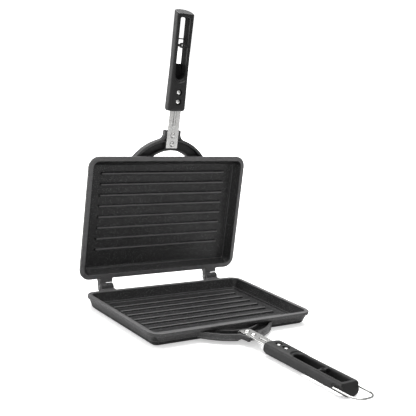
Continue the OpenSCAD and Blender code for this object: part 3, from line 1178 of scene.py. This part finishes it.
def set_in_half(
    half: Half, name: str, mesh: bpy.types.Mesh, nodes: list[str]
) -> bpy.types.Object:
    """Puts a mesh that was built base down in its half's place and finishes the piece.

    Args:
        half: the half that it belongs to.
        name: name of the piece.
        mesh: the mesh, in the half's own frame.
        nodes: CAD nodes that it stands for.

    Returns:
        The piece.
    """
    if half is Half.UPPER:
        mesh.transform(half.placing)
        mesh.flip_normals()
    return finished(name, mesh, half, half.body, nodes)


@dataclass
class CastHalf:
    """One cast half: the tray with its bow, ears and hinge lugs, and its ribs."""

    half: Half
    ribs: RibField
    edge: float = 0.00022

    def build(self, tree: bpy.types.NodeTree, finishes: Finishes) -> None:
        """Builds the casting and its ribs.

        Args:
            tree: the even row tree.
            finishes: every finish.
        """
        node = f"{self.half.prefix}_pan"
        mesh = softened(merged_copy(node), self.edge, Shade.CAST)
        mesh.materials.append(finishes["cast_black"])
        name = f"{self.half.prefix}_casting"
        finished(name, mesh, self.half, self.half.body, [node])
        self.ribs.build(tree, finishes["cast_black"])


@dataclass
class FastenerRow:
    """Two equal fasteners in a row on the centre line of a half."""

    half: Half
    name: str
    slot: str
    nodes: tuple[str, str]
    shape: bpy.types.Mesh

    def build(self, tree: bpy.types.NodeTree, finish: bpy.types.Material) -> bpy.types.Object:
        """Sets the two fasteners out where the CAD has them.

        Args:
            tree: the even row tree.
            finish: their finish.

        Returns:
            The piece.
        """
        names = [f"{self.half.prefix}_{node}" for node in self.nodes]
        first, second = (middle(self.half, node) for node in names)
        start = Vector((first.x, first.y, 0.0))
        step = Vector((0.0, second.y - first.y, 0.0))
        values = {"Count": 2, "First": tuple(start), "Step": tuple(step), "Finish": finish}
        mesh = run_tree(tree, self.shape, values, self.name)
        shaded(mesh, Shade.SHEET)
        return set_in_half(self.half, f"{self.half.prefix}_{self.name}", mesh, names)


@dataclass
class RivetShape:
    """A solid rivet: a low domed head with a struck flat, and a spread tail."""

    half: Half
    head: float = 3.1
    shank: float = 2.0

    def mesh(self) -> bpy.types.Mesh:
        """Builds one rivet at the origin, at the height of the CAD rivet.

        Returns:
            The closed mesh.
        """
        low, high = (v.z / MM for v in half_box(self.half, f"{self.half.prefix}_tang_rivet_inner"))
        top = high - 1.7
        tail = low + 1.4
        outline = [
            (0, low),
            (1.2, low + 0.04),
            (2.1, low + 0.3),
            (2.75, low + 0.8),
            (self.head, tail),
            (self.shank, tail),
            (self.shank, top),
            (self.head - 0.05, top),
            (self.head, top + 0.12),
            (2.95, top + 0.55),
            (2.55, top + 1.02),
            (1.95, top + 1.38),
            (1.25, top + 1.6),
            (0.7, top + 1.64),
            (0, top + 1.62),
        ]
        return lathe("rivet", outline, 36)


@dataclass
class ScrewShape:
    """A pan head screw with a cross recess."""

    half: Half
    head: float = 3.3
    shank: float = 2.0
    recess_long: float = 3.6
    recess_wide: float = 0.85
    recess_deep: float = 1.3

    def cross(self, top: float) -> bpy.types.Mesh:
        """Builds the cutter of the recess: two crossed bars that narrow downwards.

        Args:
            top: height of the head's top, in millimetres.

        Returns:
            The closed mesh of both bars.
        """
        points, faces = [], []
        for turn in (math.pi / 4, -math.pi / 4):
            base = len(points)
            cos, sin = math.cos(turn), math.sin(turn)
            for height, share in ((top - self.recess_deep, 0.55), (top + 1.0, 1.1)):
                for sx, sy in ((-1, -1), (1, -1), (1, 1), (-1, 1)):
                    x = sx * self.recess_long / 2 * share
                    y = sy * self.recess_wide / 2 * share
                    points.append(Vector((x * cos - y * sin, x * sin + y * cos, height)) * MM)
            faces.append([base + 3, base + 2, base + 1, base])
            faces.append([base + 4, base + 5, base + 6, base + 7])
            for i in range(4):
                k = (i + 1) % 4
                faces.append([base + i, base + k, base + 4 + k, base + 4 + i])
        return new_mesh("recess", points, faces)

    def mesh(self) -> bpy.types.Mesh:
        """Builds one screw at the origin, at the height of the CAD screw.

        Returns:
            The closed mesh.
        """
        node = f"{self.half.prefix}_handle_screw_inner"
        low, high = (v.z / MM for v in half_box(self.half, node))
        seat = high - 2.4
        outline = [
            (0, low),
            (self.shank - 0.5, low),
            (self.shank, low + 0.5),
            (self.shank, seat),
            (self.head - 0.1, seat),
            (self.head, seat + 0.15),
            (self.head, seat + 0.95),
            (self.head - 0.22, seat + 1.4),
            (self.head - 0.7, seat + 1.85),
            (self.head - 1.4, seat + 2.2),
            (self.head - 2.3, seat + 2.36),
            (0, seat + 2.4),
        ]
        body = lathe("screw", outline, 36)
        cutter = bpy.data.objects.new("recess_cutter", self.cross(high))
        bpy.context.scene.collection.objects.link(cutter)

        def add(carrier: bpy.types.Object) -> None:
            """Cuts the recess out of the head.

            Args:
                carrier: the object that passes the mesh through.
            """
            cut = carrier.modifiers.new("recess", "BOOLEAN")
            cut.operation = "DIFFERENCE"
            cut.object = cutter
            cut.use_self = True

        result = baked(body, add)
        bpy.data.objects.remove(cutter)
        return result


@dataclass
class NutShape:
    """A hexagon nut with chamfered corners and a threaded hole."""

    half: Half
    across_flats: float = 7.0
    hole: float = 2.02
    thread_rings: int = 5
    thread_deep: float = 0.22
    chamfer: float = 0.4
    steps: int = 36

    def mesh(self) -> bpy.types.Mesh:
        """Builds one nut at the origin, at the height of the CAD nut.

        Returns:
            The closed mesh.
        """
        node = f"{self.half.prefix}_handle_nut_inner"
        low, high = (v.z / MM for v in half_box(self.half, node))
        steps, rings = self.steps, []
        half_flat = self.across_flats / 2
        for height, full in (
            (low, False),
            (low + self.chamfer, True),
            (high - self.chamfer, True),
            (high, False),
        ):
            ring = []
            for i in range(steps):
                a = 2 * math.pi * i / steps
                flat = half_flat / math.cos((a % (math.pi / 3)) - math.pi / 6)
                radius = flat if full else min(flat, half_flat - 0.05)
                ring.append(Vector((radius * math.cos(a), radius * math.sin(a), height)) * MM)
            rings.append(ring)
        for j in range(self.thread_rings * 2 + 1):
            height = high - (high - low) * j / (self.thread_rings * 2)
            rings.append(circle(self.hole + (0.0 if j % 2 else self.thread_deep), height, steps))
        count = len(rings)
        faces = []
        for j in range(count):
            low_ring, high_ring = j * steps, ((j + 1) % count) * steps
            for i in range(steps):
                k = (i + 1) % steps
                faces.append([low_ring + i, low_ring + k, high_ring + k, high_ring + i])
        return new_mesh("nut", [p for ring in rings for p in ring], faces)


@dataclass
class Carrier:
    """What carries one grip: the steel tang, its rivets, the grip, its screws and nuts."""

    half: Half
    strip_edge: float = 0.00018
    grip_edge: float = 0.0003
    plug_half: float = 0.0078
    plug_from: float = -0.1925
    plug_to: float = -0.1725
    plug_above: float = 0.0024
    plug_thick: float = 0.0016

    def build(self, tree: bpy.types.NodeTree, finishes: Finishes) -> None:
        """Builds the tang, the grip and their fasteners.

        Args:
            tree: the even row tree.
            finishes: every finish.
        """
        prefix, body = self.half.prefix, self.half.body
        strip = softened(merged_copy(f"{prefix}_tang"), self.strip_edge, Shade.SHEET)
        strip.materials.append(finishes["tang_steel"])
        finished(f"{prefix}_tang_strip", strip, self.half, body, [f"{prefix}_tang"])
        grip = softened(merged_copy(f"{prefix}_handle"), self.grip_edge, Shade.MOULDED)
        self.close_slot_root(grip)
        grip.materials.append(finishes["grip_black"])
        finished(f"{prefix}_grip", grip, self.half, body, [f"{prefix}_handle"])
        for name, slot, pair, shape in (
            ("rivets", "rivet_steel", ("tang_rivet_inner", "tang_rivet_outer"), RivetShape),
            ("screws", "screw_steel", ("handle_screw_inner", "handle_screw_outer"), ScrewShape),
            ("nuts", "nut_steel", ("handle_nut_inner", "handle_nut_outer"), NutShape),
        ):
            row = FastenerRow(self.half, name, slot, pair, shape(self.half).mesh())
            row.build(tree, finishes[slot])

    def close_slot_root(self, grip: bpy.types.Mesh) -> None:
        """Adds the thin moulded floor that closes the root end of the slot at the back.

        The CAD grips are open there; the photograph shows nothing through it.

        Args:
            grip: the grip's mesh, changed in place.
        """
        low, _ = half_box(self.half, f"{self.half.prefix}_handle")
        level = low.z + self.plug_above
        skin = bmesh.new()
        skin.from_mesh(grip)
        corners = [
            skin.verts.new(self.half.placing @ Vector((x, y, z)))
            for z in (level, level + self.plug_thick)
            for x, y in (
                (-self.plug_half, self.plug_from),
                (self.plug_half, self.plug_from),
                (self.plug_half, self.plug_to),
                (-self.plug_half, self.plug_to),
            )
        ]
        quads = [(3, 2, 1, 0), (4, 5, 6, 7)]
        quads += [(0, 1, 5, 4), (1, 2, 6, 5), (2, 3, 7, 6), (3, 0, 4, 7)]
        faces = [skin.faces.new([corners[i] for i in quad]) for quad in quads]
        if self.half is Half.UPPER:
            bmesh.ops.reverse_faces(skin, faces=faces)
        skin.to_mesh(grip)
        skin.free()


@dataclass
class WireBail:
    """The swinging wire bail: inturned ends, two legs and a round end."""

    inturned: float = 7.9
    tip_bend: float = 11.5
    pivot_bend: float = 1.3

    def build(self, tree: bpy.types.NodeTree, finish: bpy.types.Material) -> bpy.types.Object:
        """Bends the wire along the CAD bail's line.

        Args:
            tree: the bent wire tree.
            finish: the wire's finish.

        Returns:
            The piece.
        """
        low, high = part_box("latch_bail")
        radius = (high.z - low.z) / 2
        side, height = high.x - radius, low.z + radius
        pivot, tip = high.y - radius, low.y + radius
        half_line = [(self.inturned * MM, pivot), (side, pivot), (side, tip)]
        line = half_line + [(-x, y) for x, y in reversed(half_line)]
        points = [Vector((x, y, height)) for x, y in line]
        corners = new_mesh("bail_line", points, [], [(i, i + 1) for i in range(len(points) - 1)])
        values = {
            "Wire Radius": radius,
            "Tip Bend": self.tip_bend * MM,
            "Pivot Bend": self.pivot_bend * MM,
            "Half Way": (pivot + tip) / 2,
            "Finish": finish,
        }
        mesh = run_tree(tree, corners, values, "bail_wire")
        outward(mesh)
        shaded(mesh, Shade.TURNED)
        return finished("bail_wire", mesh, Half.LOWER, "bail", ["latch_bail"])


def outward(mesh: bpy.types.Mesh) -> None:
    """Turns every face of a closed mesh outwards.

    Args:
        mesh: the mesh, changed in place.
    """
    skin = bmesh.new()
    skin.from_mesh(mesh)
    bmesh.ops.remove_doubles(skin, verts=skin.verts, dist=1e-6)
    bmesh.ops.recalc_face_normals(skin, faces=skin.faces)
    skin.to_mesh(mesh)
    skin.free()


@dataclass
class HingePins:
    """The two hinge pins: a domed head at one end and a spread tail at the other."""

    head: float = 3.0
    pin: float = 2.0

    def build(self, tree: bpy.types.NodeTree, finish: bpy.types.Material) -> bpy.types.Object:
        """Builds both pins along the hinge line.

        Args:
            tree: the even row tree.
            finish: their finish.

        Returns:
            The piece.
        """
        low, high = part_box("hinge_pin_left")
        start, end = low.x / MM, high.x / MM
        outline = [
            (0, start),
            (0.9, start + 0.03),
            (1.8, start + 0.28),
            (2.6, start + 0.75),
            (self.head, start + 1.15),
            (self.head, start + 1.3),
            (self.pin, start + 1.3),
            (self.pin, end - 1.1),
            (self.head - 0.1, end - 1.1),
            (self.head - 0.2, end - 0.75),
            (2.2, end - 0.35),
            (1.3, end - 0.08),
            (0.6, end - 0.2),
            (0, end - 0.22),
        ]
        shape = lathe("hinge_pin", outline, 32)
        shape.transform(Matrix.Rotation(math.pi / 2, 4, "Y"))
        shape.transform(Matrix.Translation((0.0, HINGE[1], HINGE[2])))
        other_low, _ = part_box("hinge_pin_right")
        step = (other_low.x - low.x, 0.0, 0.0)
        values = {"Count": 2, "First": (0.0, 0.0, 0.0), "Step": step, "Finish": finish}
        mesh = run_tree(tree, shape, values, "pin_row")
        shaded(mesh, Shade.SHEET)
        nodes = ["hinge_pin_left", "hinge_pin_right"]
        return finished("hinge_pins", mesh, Half.LOWER, "lower", nodes)


# ---------------------------------------------------------------------------------------------
# Studio
# ---------------------------------------------------------------------------------------------


@dataclass
class Softbox:
    """A large soft light that faces a point."""

    name: str
    place: tuple
    aim: tuple
    size: tuple
    power: float

    def build(self) -> None:
        """Hangs the light."""
        data = bpy.data.lights.new(self.name, "AREA")
        data.shape = "RECTANGLE"
        data.size, data.size_y = self.size
        data.energy = self.power
        lamp = bpy.data.objects.new(self.name, data)
        away = Vector(self.place) - Vector(self.aim)
        facing = away.to_track_quat("Z", "Y").to_matrix().to_4x4()
        lamp.matrix_world = Matrix.Translation(self.place) @ facing
        lamp.visible_camera = False
        bpy.context.scene.collection.objects.link(lamp)


@dataclass
class Studio:
    """The pale floor, the soft lights, the white surroundings and the camera."""

    floor_size: float = 9.0
    floor_steps: int = 12
    floor_glow: float = 0.5
    far_glow: float = 1.1
    far_span: tuple = (0.5, 1.4)
    floor_seen: tuple = (0.93, 0.93, 0.93, 1.0)
    floor_mirrored: tuple = (0.75, 0.75, 0.75, 1.0)
    sweep_glow: float = 0.6
    sweep_span: tuple = (0.2, 1.6)
    world_low: float = 0.3
    world_high: float = 0.6
    world_seen: float = 1.15
    camera_place: tuple = (-0.64579, -0.80679, 0.34653)
    camera_right: tuple = (0.79176, -0.60066, 0.11105)
    camera_down: tuple = (-0.03477, -0.22582, -0.97355)
    camera_forward: tuple = (0.60985, 0.76695, -0.19969)
    focal_pixels: float = 877.3
    image_side: int = 416
    sensor: float = 36.0

    def camera(self) -> None:
        """Makes the camera at the photograph's angle."""
        data = bpy.data.cameras.new("camera")
        data.sensor_width = self.sensor
        data.lens = self.focal_pixels * self.sensor / self.image_side
        data.clip_start, data.clip_end = 0.05, 60.0
        camera = bpy.data.objects.new("camera", data)
        up = [-v for v in self.camera_down]
        back = [-v for v in self.camera_forward]
        axes = [self.camera_right, up, back]
        turn = Matrix(axes).transposed().to_4x4()
        camera.matrix_world = Matrix.Translation(self.camera_place) @ turn
        bpy.context.scene.collection.objects.link(camera)
        bpy.context.scene.camera = camera

    def floor(self) -> None:
        """Lays the pale floor."""
        size, steps = self.floor_size, self.floor_steps
        points = [
            (size * (i / steps - 0.5) * 2, size * (j / steps - 0.5) * 2, 0.0)
            for j in range(steps + 1)
            for i in range(steps + 1)
        ]
        row = steps + 1
        faces = [
            [j * row + i, j * row + i + 1, (j + 1) * row + i + 1, (j + 1) * row + i]
            for j in range(steps)
            for i in range(steps)
        ]
        mesh = new_mesh("floor", points, faces)
        material = bpy.data.materials.new("pale_floor")
        material.use_nodes = True
        material.node_tree.nodes.clear()
        graph = Graph(material.node_tree)
        place = graph.add("ShaderNodeTexCoord").outputs["Object"]
        cloud = graph.add("ShaderNodeTexNoise", {"Vector": place, "Scale": 3.0}).outputs[0]
        rough = graph.spread(cloud, 0.3, 0.7, 0.8, 0.95)
        plain = {"Roughness": rough, "Specular IOR Level": 0.1}
        x, y, _ = graph.add("ShaderNodeSeparateXYZ", {0: place}).outputs
        span = graph.math("SQRT", graph.math("MULTIPLY_ADD", x, x, graph.math("MULTIPLY", y, y)))
        far = graph.spread(span, *self.far_span, self.floor_glow, self.far_glow)
        behind = graph.math("MULTIPLY_ADD", x, -0.62, graph.math("MULTIPLY", y, 0.78))
        sweep = graph.spread(behind, *self.sweep_span, 0.0, self.sweep_glow)
        white = {"Emission Color": (1.0, 1.0, 1.0, 1.0)}
        seen = {"Base Color": self.floor_seen, "Emission Strength": far}
        mirrored = {"Base Color": self.floor_mirrored, "Emission Strength": sweep}
        bright = graph.add("ShaderNodeBsdfPrincipled", {**plain, **white, **seen})
        dim = graph.add("ShaderNodeBsdfPrincipled", {**plain, **white, **mirrored})
        straight = graph.add("ShaderNodeLightPath").outputs["Is Camera Ray"]
        both = {0: straight, 1: dim.outputs[0], 2: bright.outputs[0]}
        mixed = graph.add("ShaderNodeMixShader", both).outputs[0]
        graph.add("ShaderNodeOutputMaterial", {"Surface": mixed})
        mesh.materials.append(material)
        floor = bpy.data.objects.new("floor", mesh)
        bpy.context.scene.collection.objects.link(floor)

    def surroundings(self) -> None:
        """Fills the surroundings with white, dimmer in what the pan mirrors."""
        world = bpy.data.worlds.new("white_studio")
        world.use_nodes = True
        bpy.context.scene.world = world
        graph = Graph(world.node_tree)
        world.node_tree.nodes.clear()
        seen = graph.add("ShaderNodeLightPath").outputs["Is Camera Ray"]
        way = graph.add("ShaderNodeTexCoord").outputs["Generated"]
        x, y, z = graph.add("ShaderNodeSeparateXYZ", {0: way}).outputs
        lean = graph.math("MULTIPLY_ADD", y, 0.7, graph.math("MULTIPLY_ADD", x, -0.55, z))
        room = graph.spread(lean, -0.6, 1.1, self.world_low, self.world_high)
        strength = graph.math("MAXIMUM", room, graph.math("MULTIPLY", seen, self.world_seen))
        back = graph.add(
            "ShaderNodeBackground", {"Color": (1.0, 1.0, 1.0, 1.0), "Strength": strength}
        )
        graph.add("ShaderNodeOutputWorld", {"Surface": back.outputs[0]})

    def build(self) -> None:
        """Builds the whole studio."""
        self.camera()
        self.floor()
        self.surroundings()
        for light in (
            Softbox("top_light", (0.2, 0.35, 1.7), (0.0, -0.05, 0.05), (1.7, 1.3), 46.0),
            Softbox("left_light", (-1.5, 1.3, 0.6), (0.0, 0.0, 0.15), (1.4, 1.2), 18.0),
            Softbox("front_light", (-0.9, -1.9, 1.1), (0.0, 0.0, 0.1), (1.6, 1.0), 5.0),
        ):
            light.build()
        bpy.context.scene.view_settings.view_transform = "Standard"


def main() -> None:
    """Builds every sub-assembly in order, then the studio."""
    logging.basicConfig(level=logging.INFO, format="%(name)s: %(message)s")
    finishes = Finishes()
    row, wire = row_tree(), wire_tree()
    CastHalf(Half.LOWER, RibField(Half.LOWER, 7, 15.4, 0.0)).build(row, finishes)
    CastHalf(Half.UPPER, RibField(Half.UPPER, 8, 13.7, -6.0)).build(row, finishes)
    for half in Half:
        Carrier(half).build(row, finishes)
    WireBail().build(wire, finishes["wire_steel"])
    HingePins().build(row, finishes["pin_steel"])
    Studio().build()


if __name__ == "__main__":
    main()
